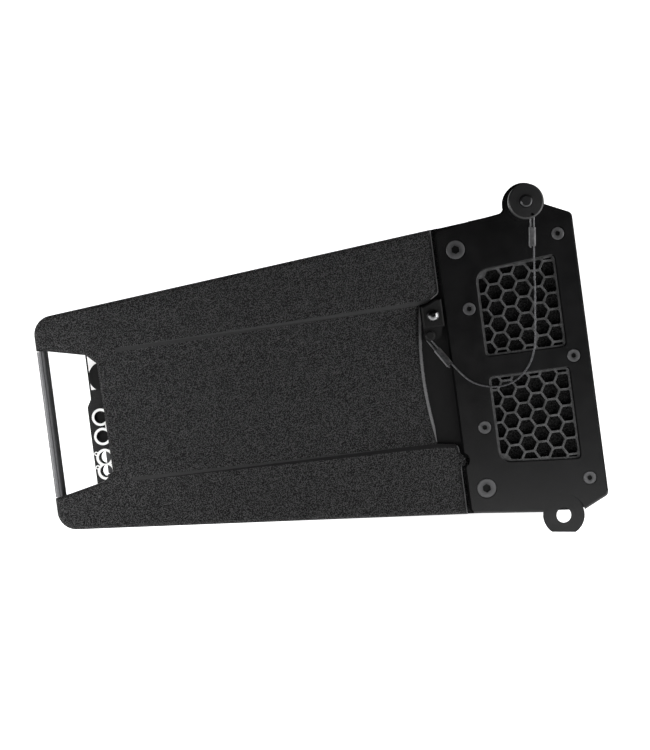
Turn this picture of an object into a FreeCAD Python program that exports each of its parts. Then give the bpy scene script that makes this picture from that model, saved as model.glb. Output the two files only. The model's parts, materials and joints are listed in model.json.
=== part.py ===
import FreeCAD, Part
import math
import os

# A compact self-powered line array module.
# Everything is modelled square to the cabinet. A place is given by f, the distance behind the
# front plane, y, the distance to the left of the middle, and z, the height above the horn axis.
# At the end the whole speaker is tipped nose up, so that it stands on its two lower front lugs
# and on its lower rear edge, and is set down on the ground.

os.makedirs("parts", exist_ok=True)
V = FreeCAD.Vector
parts = {}

# ---------------------------------------------------------------- driving dimensions, mm
DEPTH = 377.0           # front plane to rear plane
FRONT_HALF = 107.5      # half height of the cabinet at the front plane
REAR_HALF = 73.0        # half height at the rear plane
SIDE_Y = 227.0          # smooth side of the shell
BAND_Y = 234.0          # raised grained bands
PLATE_IN, PLATE_OUT = 231.0, 235.0      # side plate
WALL = 7.0
SHELL_FRONT = 12.0
BACK_WALL = 325.0       # outer face of the rear wall, behind the front plane
WING_Y = 197.0          # inner face of the rear wings
CORNER_R = 13.0         # rear corners of the cabinet
EDGE_R = 3.0            # rounding of the cabinet's side edges
RIDGE = 2.6             # bevel along the ridges of the raised bands

EAR_F, EAR_Z = 32.0, 108.0      # pin axes, above and below
EAR_R = 14.2
LUG_FLAT = 11.6         # from the lug's bore to the flat it stands on
NOSE_Z, NOSE_SLOPE = 97.5, 0.464        # bevel of the front corners in the side view
PIN_R, PIN_HOLE_R, LUG_HOLE_R = 5.0, 5.1, 5.2
RELIEF_R = 14.8
PLATE_REAR = 95.6
SMALL_SCREWS = [(11.5, 84.5), (11.5, 0.0), (11.5, -84.5), (78.4, 41.0), (78.4, -41.0)]
LARGE_SCREWS = [(82.5, 82.5), (82.5, -82.5)]
WIN_F0, WIN_F1 = 15.5, 71.0
WIN_IN, WIN_OUT_FRONT, WIN_OUT_REAR = 7.1, 70.6, 66.0
HEX_PITCH, HEX_WALL = 11.2, 1.5
COMB_IN, COMB_OUT = 226.4, 232.0        # back and front of the honeycomb

KNOB_R, BUTTON_R = 12.1, 4.0
KNOB_OUT = 257.6        # outer face of the pin knob
BUTTON_UP = 2.6         # how far the release buttons stand out of the knobs

BAR_DEPTH, BAR_HALF = 5.2, 50.2         # rear handle bar
BAR_Y0, BAR_Y1 = 204.0, 234.0

CHEEK_IN, CHEEK_OUT = 10.0, 14.0        # rear bracket cheeks
RING_HOLES = [(358.0, -0.7), (358.2, -15.6), (358.6, -31.9), (358.8, -42.4)]
RING_HOLE_R = 4.8
REAR_PIN_F, REAR_PIN_Z, REAR_PIN_R = 350.0, 30.0, 4.0
LINK_TRAVEL = 50.0

WOOFER_Y = 125.0
FLANGE_F = 30.0         # front of the woofer and waveguide flanges
BAFFLE_F, BAFFLE_T = 34.0, 12.0

# lanyard centre line, by hand, as (f, z) on the side and its height y off the side
LANYARD_R = 0.65


# ---------------------------------------------------------------- helpers
def half(f):
    """Half height of the wedge at f."""
    return FRONT_HALF + (REAR_HALF - FRONT_HALF) * f / DEPTH


def block(f0, f1, y0, y1, z0, z1):
    return Part.makeBox(f1 - f0, y1 - y0, z1 - z0, V(-f1, y0, z0))


def prism(points, y0, y1):
    """A side outline of (f, z) points, carried across from y0 to y1."""
    wire = Part.makePolygon([V(-f, y0, z) for f, z in points + points[:1]])
    return Part.Face(wire).extrude(V(0, y1 - y0, 0))


def plan(points, z0, z1):
    """An outline of (f, y) points seen from above, carried from z0 to z1."""
    wire = Part.makePolygon([V(-f, y, z0) for f, y in points + points[:1]])
    return Part.Face(wire).extrude(V(0, 0, z1 - z0))


def wedge(f0, f1, y0, y1, inset):
    a, b = half(f0) - inset, half(f1) - inset
    return prism([(f0, a), (f1, b), (f1, -b), (f0, -a)], y0, y1)


def rod(f, z, r, y0, y1):
    """A cylinder that runs across."""
    return Part.makeCylinder(r, abs(y1 - y0), V(-f, min(y0, y1), z), V(0, 1, 0))


def disc(y, z, r, f0, f1):
    """A cylinder that runs front to back."""
    return Part.makeCylinder(r, f1 - f0, V(-f1, y, z), V(1, 0, 0))


def post(f, y, r, z0, z1):
    return Part.makeCylinder(r, z1 - z0, V(-f, y, z0), V(0, 0, 1))


def tube(y, z, r_out, r_in, f0, f1):
    return disc(y, z, r_out, f0, f1).cut(disc(y, z, r_in, f0 - 1, f1 + 1))


def turned(points, y, z):
    """A profile of (f, radius) points turned about the front-to-back line at y, z."""
    wire = Part.makePolygon([V(-f, y, z + r) for f, r in points + points[:1]])
    return Part.Face(wire).revolve(V(0, y, z), V(1, 0, 0), 360)


def turned_across(points, f, z):
    """A profile of (y, radius) points turned about the crosswise line at f, z."""
    wire = Part.makePolygon([V(-f, y, z + r) for y, r in points + points[:1]])
    return Part.Face(wire).revolve(V(-f, 0, z), V(0, 1, 0), 360)


def hexagon(f, z, across, y0, y1, turn=0.0):
    r = across / math.sqrt(3)
    pts = [
        (f + r * math.cos(math.radians(turn + 60 * k)), z + r * math.sin(math.radians(turn + 60 * k)))
        for k in range(6)
    ]
    return prism(pts, min(y0, y1), max(y0, y1))


def hexagon_back(y, z, across, f0, f1):
    r = across / math.sqrt(3)
    pts = [
        V(-f1, y + r * math.cos(math.radians(60 * k)), z + r * math.sin(math.radians(60 * k)))
        for k in range(7)
    ]
    return Part.Face(Part.makePolygon(pts)).extrude(V(f1 - f0, 0, 0))


def other_side(shape):
    return shape.mirror(V(0, 0, 0), V(0, 1, 0))


def join(shapes):
    return shapes[0].fuse(shapes[1:]) if len(shapes) > 1 else shapes[0]


def group(shapes):
    return Part.makeCompound(shapes)


def pair(name, *shapes):
    """One node for the pieces of the left side and their mirror images on the right."""
    parts[name] = group(list(shapes) + [other_side(s) for s in shapes])


def sides(name, shape):
    """A node for the left piece and one for its mirror image."""
    parts[name + "_left"] = shape
    parts[name + "_right"] = other_side(shape)


def cross_edges(shape, spots, near=1.5):
    """Edges that run across, at the given (f, z) spots."""
    found = []
    for edge in shape.Edges:
        box = edge.BoundBox
        if box.XLength > 0.01 or box.ZLength > 0.01 or box.YLength < 0.5:
            continue
        for f, z in spots:
            if abs(-box.XMin - f) < near and abs(box.ZMin - z) < near:
                found.append(edge)
                break
    return found


def round_across(shape, spots, r, near=1.5):
    edges = cross_edges(shape, spots, near)
    return shape.makeFillet(r, edges) if edges else shape


def face_edges(shape, y, wide=0.01):
    """Edges that lie on the plane at y."""
    return [e for e in shape.Edges if abs(e.BoundBox.YMin - y) < wide and abs(e.BoundBox.YMax - y) < wide]


def face_edges_within(shape, y, f0, f1, z):
    """Those edges on the plane at y that lie between f0 and f1 and within z of the horn axis."""
    boxes = [(e, e.BoundBox) for e in face_edges(shape, y)]
    return [e for e, b in boxes if f0 < -b.XMax and -b.XMin < f1 and -z < b.ZMin and b.ZMax < z]


def soften(shape, y, size):
    """A small bevel round the face at y."""
    return shape.makeChamfer(size, face_edges(shape, y))


def cord_tube(points, radius):
    """A cord: straight runs joined by tangent arcs, swept with a round section."""
    runs, radii = [], []
    start = points[0]
    for k in range(1, len(points) - 1):
        a, b, c = points[k - 1], points[k], points[k + 1]
        back, ahead = a.sub(b), c.sub(b)
        shorter = min(back.Length, ahead.Length)
        back.normalize()
        ahead.normalize()
        turn = math.pi - back.getAngle(ahead)
        if turn < 0.002:
            continue
        reach = 0.45 * shorter
        radii.append(reach / math.tan(turn / 2))
        leave = b.add(V(back).multiply(reach))
        meet = b.add(V(ahead).multiply(reach))
        middle = V(back).add(ahead)
        middle.normalize()
        to_centre = radii[-1] / math.cos(turn / 2)
        top = b.add(V(middle).multiply(to_centre - radii[-1]))
        runs.append(Part.LineSegment(start, leave).toShape())
        runs.append(Part.Arc(leave, top, meet).toShape())
        start = meet
    runs.append(Part.LineSegment(start, points[-1]).toShape())
    path = Part.Wire(runs)
    first = points[1].sub(points[0])
    ring = Part.Wire([Part.Circle(points[0], first, radius).toShape()])
    solid = path.makePipeShell([ring], True, False)
    length = sum(e.Length for e in path.Edges)
    print("cord: length", round(length, 1), "smallest radius", round(min(radii), 1),
          "volume ratio", round(solid.Volume / (math.pi * radius**2 * length), 3))
    return solid


# ---------------------------------------------------------------- how the speaker stands
# line under the lug's flat and the rounded lower rear corner
slope = math.atan((FRONT_HALF - REAR_HALF) / DEPTH)
corner_f = DEPTH - CORNER_R
corner_z = -(half(corner_f) - CORNER_R / math.cos(slope))
dx, dz = corner_f - EAR_F, corner_z + EAR_Z
TILT = math.atan2(dz, dx) - math.asin((CORNER_R - LUG_FLAT) / math.hypot(dx, dz))
TILT_DEG = math.degrees(TILT)
print("tilt", round(TILT_DEG, 3))


# ---------------------------------------------------------------- screws
def countersunk(f, z, r, head_r, head_h, y_face, length, key):
    """A countersunk socket screw on the left side, its head just below the face at y_face."""
    top = y_face - 0.25
    shape = turned_across(
        [(top, 0), (top, head_r - 0.4), (top - 0.3, head_r), (top - 0.5, head_r), (top - head_h, r),
         (top - length, r),
         (top - length - 0.8, r - 0.8), (top - length - 0.8, 0)], f, z)
    return shape.cut(hexagon(f, z, key, top - head_h * 0.75, top + 1, 30))


def countersink(f, z, r, head_r, head_h, y_face, length):
    """The hole such a screw sits in."""
    top = y_face - 0.25
    gap = 0.15
    rim = top - 0.5 - gap
    return turned_across(
        [(y_face + 1, 0), (y_face + 1, head_r + 0.7), (rim, head_r + 0.7), (rim, head_r + gap),
         (top - head_h - gap, r + gap), (top - length - 2, r + gap), (top - length - 2, 0)], f, z)


SHORT = (2.5, 4.4, 2.4, PLATE_OUT, 11.0)        # in front of the shell, in the plates alone
SMALL = (2.5, 4.4, 2.4, PLATE_OUT, 16.0)
LARGE = (4.0, 6.5, 3.2, PLATE_OUT, 16.0)
small_sizes = [SHORT if f < SHELL_FRONT else SMALL for f, z in SMALL_SCREWS]
small_screws = [countersunk(f, z, *size, 3.2) for (f, z), size in zip(SMALL_SCREWS, small_sizes)]
large_screws = [countersunk(f, z, *LARGE, 5.2) for f, z in LARGE_SCREWS]
screw_space = [countersink(f, z, *size) for (f, z), size in zip(SMALL_SCREWS, small_sizes)]
screw_space += [countersink(f, z, *LARGE) for f, z in LARGE_SCREWS]


# ---------------------------------------------------------------- side windows
def window(sign, grow, y0, y1):
    """One side window, grown or shrunk all round by grow."""
    pts = [(WIN_F0 - grow, WIN_IN - grow), (WIN_F0 - grow, WIN_OUT_FRONT + grow),
           (WIN_F1 + grow, WIN_OUT_REAR + grow), (WIN_F1 + grow, WIN_IN - grow)]
    shape = prism([(f, sign * z) for f, z in pts], y0, y1)
    shape = round_across(shape, [(pts[2][0], sign * pts[2][1])], 9.0 + grow, 0.5)
    spots = [(pts[k][0], sign * pts[k][1]) for k in (0, 1, 3)]
    return round_across(shape, spots, 3.0 + grow, 0.5)


windows = [window(s, 0.0, PLATE_IN - 0.5, PLATE_OUT + 1) for s in (1, -1)]
windows_deep = [window(s, -0.6, 200.0, PLATE_OUT + 1) for s in (1, -1)]
insert_space = [window(s, 0.15, SIDE_Y, PLATE_IN + 0.1) for s in (1, -1)]


def honeycomb(sign):
    """A window insert of hexagonal cells with flat tops."""
    body = window(sign, -0.15, COMB_IN, COMB_OUT)
    column = HEX_PITCH * math.sqrt(3) / 2
    cells = []
    inner = window(sign, -1.4, COMB_IN - 1, COMB_OUT + 1)
    for i in range(-1, 8):
        for j in range(-1, 8):
            f = WIN_F0 + 5.1 + i * column
            z = sign * (WIN_IN + 3.9 + (j + 0.5 * ((i + 1) % 2)) * HEX_PITCH)
            cell = hexagon(f, z, HEX_PITCH - HEX_WALL, COMB_IN - 1, COMB_OUT + 1)
            box = cell.BoundBox
            if -box.XMax > WIN_F1 or -box.XMin < WIN_F0:
                continue
            cells.append(cell)
    cells = [c for c in inner.common(group(cells)).Solids if c.Volume > 40]
    return body.cut(cells)


# ---------------------------------------------------------------- cabinet shell
BAND_F = 97.5
outline = wedge(SHELL_FRONT, DEPTH, -BAND_Y, BAND_Y, 0)
outline = round_across(outline, [(DEPTH, REAR_HALF), (DEPTH, -REAR_HALF)], CORNER_R, 1.0)
outer_edges = [e for y in (BAND_Y, -BAND_Y) for e in face_edges(outline, y)
               if e.BoundBox.XMin < -SHELL_FRONT - 0.1]
outline = outline.makeFillet(EDGE_R, outer_edges)
for s in (1, -1):       # front corners, just inside the bevelled corners of the side plates
    nose = [(f, s * (NOSE_Z - 1.0 + NOSE_SLOPE * f)) for f in (8.0, 24.0)] + [(24.0, s * 125.0), (8.0, s * 125.0)]
    outline = outline.cut(prism(nose, -BAND_Y - 1, BAND_Y + 1))


def band(sign):
    pts = [(BAND_F, half(BAND_F)), (DEPTH, REAR_HALF), (DEPTH, 44.0), (318.0, 43.6), (113.0, 48.0),
           (106.0, 49.0), (BAND_F, 54.5)]
    if sign < 0:
        pts[-2:] = [(BAND_F, 50.0)]
    shape = prism([(f, sign * z) for f, z in pts], SIDE_Y - 1, BAND_Y)
    corners = [(BAND_F, sign * 54.5), (106.0, sign * 49.0)] if sign > 0 else [(BAND_F, sign * 50.0)]
    shape = round_across(shape, corners, 4.0, 0.5)
    edges = [e for e in face_edges(shape, BAND_Y) if abs(e.BoundBox.ZMax) < 75 and abs(e.BoundBox.ZMin) < 75
             and -e.BoundBox.XMin < DEPTH - 1 and e.BoundBox.ZLength < 60]
    front = [e for e in face_edges(shape, BAND_Y) if -e.BoundBox.XMin < BAND_F + 0.1]
    ridge = [e for e in edges if not any(e.isSame(f) for f in front)]
    return shape.makeChamfer(RIDGE, ridge + front)


MIDDLE_F = 112.0
middle = plan([(MIDDLE_F, SIDE_Y - 1), (MIDDLE_F, 229.6), (MIDDLE_F + 1.4, 231.0), (333.0, BAND_Y),
               (DEPTH, BAND_Y), (DEPTH, SIDE_Y - 1)], -49.0, 49.0)
bow = rod(-140.0, 0.0, 253.6, SIDE_Y - 2, BAND_Y + 1)
bow = bow.fuse(turned_across([(SIDE_Y, 253.6), (BAND_Y, 262.0), (BAND_Y, 250.0), (SIDE_Y, 250.0)], -140.0, 0.0))
middle = middle.cut(bow)

wing = wedge(BACK_WALL - 2, DEPTH, WING_Y, BAND_Y, 0)
hand_points = [(DEPTH + 5, 51.4), (DEPTH - BAR_DEPTH, 50.4), (343.5, 43.8), (336.8, 37.2)]
hand_points += [(335.4, -37.8), (342.4, -44.0), (DEPTH - BAR_DEPTH, -50.4), (DEPTH + 5, -51.4)]
hand_hole = prism(hand_points, WING_Y - 10, BAND_Y + 5)
grown_pts = [(DEPTH + 5, 53.0), (DEPTH - BAR_DEPTH, 52.0), (343.0, 45.3), (335.2, 37.8),
             (333.8, -38.4), (341.9, -45.5), (DEPTH - BAR_DEPTH, -52.0), (DEPTH + 5, -53.0)]
low = Part.makePolygon([V(-f, BAND_Y - 1.6, z) for f, z in hand_points + hand_points[:1]])
high = Part.makePolygon([V(-f, BAND_Y + 0.01, z) for f, z in grown_pts + grown_pts[:1]])
hand_bevel = Part.makeLoft([low, high], True, True)

bar_slot = [block(372.4, 375.6, 209.8, 228.2, 49.0, 60.2), block(372.4, 375.6, 209.8, 228.2, -60.2, -49.0)]
hollows = []
for s in (1, -1):
    pts = [(331.0, 49.5), (331.0, half(331.0) - 6.0), (366.0, half(366.0) - 6.0), (366.0, 58.0)]
    hollows.append(prism([(f, s * z) for f, z in pts], WING_Y - 1, BAND_Y - 5.0))

boss = rod(BAND_F + 1.4, -61.3, 4.6, SIDE_Y - 1, BAND_Y - 0.8)
side_left = join([band(1), band(-1), middle, wing, boss])
core = wedge(SHELL_FRONT, BACK_WALL, -SIDE_Y, SIDE_Y, 0)
lips = [wedge(BACK_WALL - 1, 333.0, -WING_Y - 1, WING_Y + 1, 0)
        .cut(wedge(BACK_WALL - 5, 336.0, -WING_Y - 5, WING_Y + 5, 4.0))]
shell = core.fuse([side_left, other_side(side_left)] + lips)
shell = shell.common(outline)
inside = wedge(SHELL_FRONT - 2, BACK_WALL - WALL, -SIDE_Y + 8.0, SIDE_Y - 8.0, WALL)
cheek_space = [
    prism([(2.0, 70.8), (2.0, 100.0), (14.0, 106.0), (14.0, 130.0), (50.0, 130.0), (50.0, 101.0),
           (92.7, 101.0), (92.7, 70.8)], 222.3, SIDE_Y + 0.1),
    rod(EAR_F, EAR_Z, RELIEF_R, 222.3, 240.0),
    rod(EAR_F, -EAR_Z, RELIEF_R, SIDE_Y - 1.0, 240.0),
    rod(EAR_F, EAR_Z, 6.2, 214.0, 226.0),
]
port_space = [window(s, 0.0, 210.0, SIDE_Y + 1) for s in (1, -1)]
side_cuts = [hand_hole, hand_bevel] + bar_slot + hollows + cheek_space + port_space + screw_space
AMP_Y0, AMP_Y1, AMP_Z = 27.0, 195.5, 62.0
rear_holes = [block(BACK_WALL - WALL - 1, BACK_WALL + 1, s * 111.0 - 78.0, s * 111.0 + 78.0, -55.0, 55.0)
              for s in (1, -1)]
shell = shell.cut([inside] + side_cuts + [other_side(c) for c in side_cuts] + rear_holes)
print("shell solids", len(shell.Solids))

# ---------------------------------------------------------------- side rigging
nose_end = (20.0, NOSE_Z + NOSE_SLOPE * 20.0)       # inside the circles of the ear and the lug
plate_points = [(0, NOSE_Z), nose_end, (46.0, 103.6), (PLATE_REAR, 96.9), (PLATE_REAR, -98.2),
                (46.0, -104.0), (nose_end[0], -nose_end[1]), (0, -NOSE_Z)]
side_plate = prism(plate_points, PLATE_IN, PLATE_OUT)
side_plate = side_plate.fuse(rod(EAR_F, EAR_Z, EAR_R, PLATE_IN, PLATE_OUT)).removeSplitter()
crook = EAR_F + math.sqrt(EAR_R**2 - (103.7 - EAR_Z) ** 2)
side_plate = round_across(side_plate, [(crook, 103.6)], 5.0, 1.2)
side_plate = round_across(side_plate, [(0, NOSE_Z), (0, -NOSE_Z)], 4.0)
side_plate = round_across(side_plate, [(PLATE_REAR, 96.9), (PLATE_REAR, -98.2)], 3.4)
side_plate = soften(side_plate, PLATE_OUT, 1.2)
side_plate = side_plate.cut([rod(EAR_F, -EAR_Z, RELIEF_R, 230.0, 240.0),
                             rod(PLATE_REAR + 1.0, -61.3, 5.2, 230.0, 240.0),
                             rod(EAR_F, EAR_Z, PIN_HOLE_R, 230.0, 240.0)] + windows)
side_plate = side_plate.makeChamfer(0.5, face_edges_within(side_plate, PLATE_OUT, WIN_F0 - 1, WIN_F1 + 1, 75.0))
side_plate = side_plate.cut(screw_space)

inner_points = [(3.0, 70.0), (3.0, -96.0), (17.0, -103.0), (46.5, -103.0), (93.0, -98.6), (93.0, 70.0)]
inner_plate = prism(inner_points, SIDE_Y, PLATE_IN)
down, level = (math.sin(TILT), -math.cos(TILT)), (math.cos(TILT), math.sin(TILT))
below = [(EAR_F + down[0] * d + level[0] * e, -EAR_Z + down[1] * d + level[1] * e)
         for d, e in ((LUG_FLAT, -20.0), (LUG_FLAT, 20.0), (LUG_FLAT + 10.0, 20.0), (LUG_FLAT + 10.0, -20.0))]
lug = rod(EAR_F, -EAR_Z, EAR_R, SIDE_Y, PLATE_IN).cut(prism(below, SIDE_Y - 1, PLATE_IN + 1))
inner_plate = inner_plate.fuse(lug).removeSplitter()
inner_plate = inner_plate.cut([rod(EAR_F, -EAR_Z, RELIEF_R, PLATE_IN - 0.4, 240.0),
                               rod(EAR_F, -EAR_Z, LUG_HOLE_R, 220.0, 240.0),
                               rod(PLATE_REAR + 1.0, -61.3, 5.2, 220.0, 240.0)] + insert_space + screw_space)

cheek_points = [(3.0, 71.6), (3.0, 98.0), (17.0, 104.0), (47.0, 100.6), (92.0, 97.4), (92.0, 71.6)]
ear_cheek = prism(cheek_points, 222.4, 226.4).fuse(rod(EAR_F, EAR_Z, EAR_R, 222.4, 226.4)).removeSplitter()
ear_cheek = ear_cheek.cut([rod(EAR_F, EAR_Z, PIN_HOLE_R, 220.0, 228.0)] + screw_space)
spacer_pts = [(3.0, 71.6), (3.0, 98.0), (12.0, 101.8), (12.0, 90.0), (55.0, 90.0), (55.0, 99.6),
              (92.0, 96.0), (92.0, 71.6)]
ear_spacer = prism(spacer_pts, 226.4, PLATE_IN)
ear_spacer = ear_spacer.cut([rod(EAR_F, EAR_Z, RELIEF_R + 3.0, 220.0, 240.0)] + screw_space)
combs = [honeycomb(s) for s in (1, -1)]
foams = [window(s, -0.2, COMB_IN - 3.0, COMB_IN) for s in (1, -1)]     # in the mouth of the port
pair("side_plates", side_plate)
pair("inner_plates", inner_plate)
pair("ear_cheeks", ear_cheek, ear_spacer)
pair("honeycombs", *combs)
pair("vent_foam", *foams)
pair("plate_screws", *small_screws)
pair("plate_bolts", *large_screws)
parts["cabinet_shell"] = shell


# ---------------------------------------------------------------- front quick-lock pins
def lock_pin(f, z, r, y_end, y_base, y_face, knob_r, button_r):
    """Shaft, knob and release button of a quick-lock pin that points inwards from the left."""
    shaft = turned_across([(y_end, 0), (y_end, r - 1.4), (y_end + 1.4, r), (y_base, r), (y_base, r + 2.2),
                           (y_base + 3.0, r + 2.2), (y_base + 3.0, 0)], f, z)
    neck = y_base + 3.0
    grip = y_face - 9.0
    knob = turned_across(
        [(neck, 0), (neck, 7.4), (grip - 3.4, 7.4), (grip - 1.6, 8.6), (grip, knob_r - 1.0), (grip + 1.0, knob_r),
         (y_face - 1.0, knob_r), (y_face, knob_r - 1.0), (y_face, button_r + 0.5),
         (y_face - 0.4, button_r + 0.1), (y_face - 7.0, button_r + 0.1), (y_face - 7.0, 0)], f, z)
    button = turned_across([(y_face - 3.6, 0), (y_face - 3.6, button_r), (y_face + 1.7, button_r),
                            (y_face + BUTTON_UP, button_r - 0.9), (y_face + BUTTON_UP, 0)], f, z)
    return shaft, knob, button


shaft, knob, button = lock_pin(EAR_F, EAR_Z, PIN_R, 217.0, PLATE_OUT + 0.4, KNOB_OUT, KNOB_R, BUTTON_R)
sides("front_pin", shaft)
sides("pin_button", button)

# ---------------------------------------------------------------- lanyard and its anchor
ANCHOR_F, ANCHOR_Z = 103.8, 39.6
anchor = prism([(96.6, 31.6), (111.0, 31.6), (111.0, 46.4), (105.4, 48.3), (100.6, 50.6), (96.6, 50.6)],
               SIDE_Y, 235.5)
anchor = soften(anchor, 235.5, 1.0)
anchor = anchor.cut(rod(ANCHOR_F, ANCHOR_Z, 2.15, 215.0, 240.0))
saddle = prism([(98.0, 32.0), (111.0, 32.0), (111.0, 25.6), (109.5, 22.6), (103.5, 22.6), (99.6, 25.6)],
               SIDE_Y, 233.4)
saddle = saddle.fuse(turned_across([(SIDE_Y, 0), (SIDE_Y, 4.2), (235.4, 3.4), (236.2, 2.4), (236.2, 0)], 107.4, 26.2))
dome = turned_across([(235.5, 0), (235.5, 4.0), (236.5, 4.3), (237.8, 4.1), (239.0, 3.2), (239.7, 1.9),
                      (239.9, 0)], ANCHOR_F, ANCHOR_Z)
anchor_screw = dome.fuse(rod(ANCHOR_F, ANCHOR_Z, 2.0, 219.5, 235.5)).removeSplitter()
anchor_screw = anchor_screw.cut(hexagon(ANCHOR_F, ANCHOR_Z, 2.0, 238.2, 241.0, 30))
anchor_hole = rod(ANCHOR_F, ANCHOR_Z, 2.15, 215.0, SIDE_Y + 1)
for c in (anchor_hole, other_side(anchor_hole)):
    parts["cabinet_shell"] = parts["cabinet_shell"].cut(c)
anchor_block = anchor.fuse(saddle).removeSplitter()

# centre line of the lanyard cable, (f, z, y)
LANYARD = [
    (107.9, 24.5, 234.0), (91.2, -2.2, 238.4), (79.5, -12.0, 238.8), (63.0, -15.2, 239.2), (50.6, -10.8, 239.8),
    (41.2, -0.6, 240.8), (36.8, 12.4, 242.0), (35.2, 29.0, 243.6), (32.9, 46.0, 245.4), (31.6, 64.0, 247.6),
    (28.9, 87.6, 250.8),
]


def cable_points(rows):
    return [V(-f, y, z) for f, z, y in rows]


cable = cord_tube(cable_points(LANYARD), LANYARD_R)
STRAND_GAP = 1.15       # from the middle of a sleeve to each of its two strands
BORE_R = LANYARD_R + 0.1


def bar_between(a, b, r):
    return Part.makeCylinder(r, b.sub(a).Length, a, b.sub(a))


def sleeve_frame(row_a, row_b, from_t, to_t, turn_side):
    """Start and end of a crimped sleeve on the straight run from row_a to row_b, and the way to its
    second strand."""
    a, b = cable_points([row_a, row_b])
    way = b.sub(a)
    across = way.cross(V(0, 1, 0))
    across.normalize()
    return (a.add(V(way).multiply(from_t)), a.add(V(way).multiply(to_t)),
            across.multiply(2 * STRAND_GAP * turn_side))


def sleeve(start, end, second):
    """An oval sleeve round two strands side by side."""
    outer = bar_between(start, end, 1.4).fuse(bar_between(start.add(second), end.add(second), 1.4))
    way = end.sub(start)
    length = way.Length
    slab = Part.makeBox(second.Length, 2.8, length, V(0, -1.4, 0))
    turn = FreeCAD.Rotation(second, V(0, 0, 0), way, "ZXY")
    slab.Placement = FreeCAD.Placement(start, turn)
    past = V(way).normalize()
    bores = [bar_between(p.sub(past), q.add(past), BORE_R)
             for p, q in ((start, end), (start.add(second), end.add(second)))]
    return outer.fuse(slab).removeSplitter().cut(bores)


def hairpin(end, second, way, reach, tail, r):
    """The loop past a sleeve: two strands and the bend that joins them. One strand runs back by tail."""
    ahead = V(way).normalize()
    top_a = end.add(V(ahead).multiply(reach))
    top_b = top_a.add(second)
    middle = top_a.add(V(second).multiply(0.5))
    square = V(second).cross(ahead)
    bend = Part.makeTorus(second.Length / 2, r, middle, square, -180, 180, 360)
    keep = bar_between(middle, middle.add(V(ahead).multiply(4.0)), 4.0)
    strands = [bar_between(end.sub(V(ahead).multiply(2.0)), top_a, r),
               bar_between(end.add(second).sub(V(ahead).multiply(tail)), top_b, r)]
    return bend.common(keep).fuse(strands).removeSplitter(), middle


low_a, low_b, low_second = sleeve_frame(LANYARD[0], LANYARD[1], 0.287, 0.72, -1)
lower_sleeve = sleeve(low_a, low_b, low_second)
eye = cable_points(LANYARD[:1])[0]
tail_strand = bar_between(eye.add(low_second), low_b.add(low_second).add(low_b.sub(low_a).multiply(0.1)), LANYARD_R)
eye_ways = [bar_between(eye.sub(low_b.sub(eye).normalize()).add(side), low_b.add(side), BORE_R)
            for side in (V(0, 0, 0), low_second)]
up_a, up_b, up_second = sleeve_frame(LANYARD[-2], LANYARD[-1], 0.57, 1.10, 1)
upper_sleeve = sleeve(up_a, up_b, up_second)
LOOP_REACH = 7.4
loop, loop_top = hairpin(up_b, up_second, up_b.sub(up_a), LOOP_REACH, up_b.sub(up_a).Length + 1.0, LANYARD_R)
loop_way, loop_top = hairpin(up_b, up_second, up_b.sub(up_a), LOOP_REACH, 0.0, LANYARD_R + 0.2)
rim_hole = rod(-loop_top.x, loop_top.z + STRAND_GAP, 1.0, loop_top.y, KNOB_OUT + 1)
sides("pin_knob", knob.cut([loop_way, rim_hole]))
sides("lanyard_cable", cable)
sides("upper_ferrule", group([upper_sleeve, loop]))
pair("lower_ferrules", lower_sleeve, tail_strand)
pair("anchor_blocks", anchor_block.cut(eye_ways))
pair("anchor_screws", anchor_screw)

# ---------------------------------------------------------------- rear handle bars
bar = block(DEPTH - BAR_DEPTH, DEPTH - 0.4, BAR_Y0, BAR_Y1, -BAR_HALF, BAR_HALF)
bar = bar.makeFillet(1.6, [e for e in bar.Edges if e.BoundBox.ZLength > 50])
bar = bar.cut(block(DEPTH - 3.9, DEPTH - 3.3, BAR_Y1 - 0.8, BAR_Y1 + 1, -BAR_HALF - 1, BAR_HALF + 1))
tongues = [block(372.6, 375.4, 210.0, 228.0, s * 54.6 - 5.4, s * 54.6 + 5.4) for s in (1, -1)]
bar = bar.fuse(tongues).removeSplitter()
bar_screws, bar_holes = [], []
for s in (1, -1):
    bar_screws.append(turned([(DEPTH + 0.0, 0), (DEPTH + 0.0, 3.4), (DEPTH - 1.2, 3.8), (DEPTH - 1.3, 1.5),
                              (365.0, 1.5), (365.0, 0)], 219.0, s * 56.4))
    bar_holes.append(turned([(DEPTH + 1.0, 0), (DEPTH + 1.0, 4.0), (DEPTH - 1.4, 4.0), (DEPTH - 1.4, 1.62),
                             (363.0, 1.62), (363.0, 0)], 219.0, s * 56.4))
bar = bar.cut(bar_holes)
bar_screws = [b.cut(hexagon_back(219.0, s * 56.4, 2.4, DEPTH - 1.0, DEPTH + 1))
              for b, s in zip(bar_screws, (1, -1))]
for c in bar_holes + [other_side(b) for b in bar_holes]:
    parts["cabinet_shell"] = parts["cabinet_shell"].cut(c)
pair("handle_bars", bar)
pair("handle_screws", *bar_screws)

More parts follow.
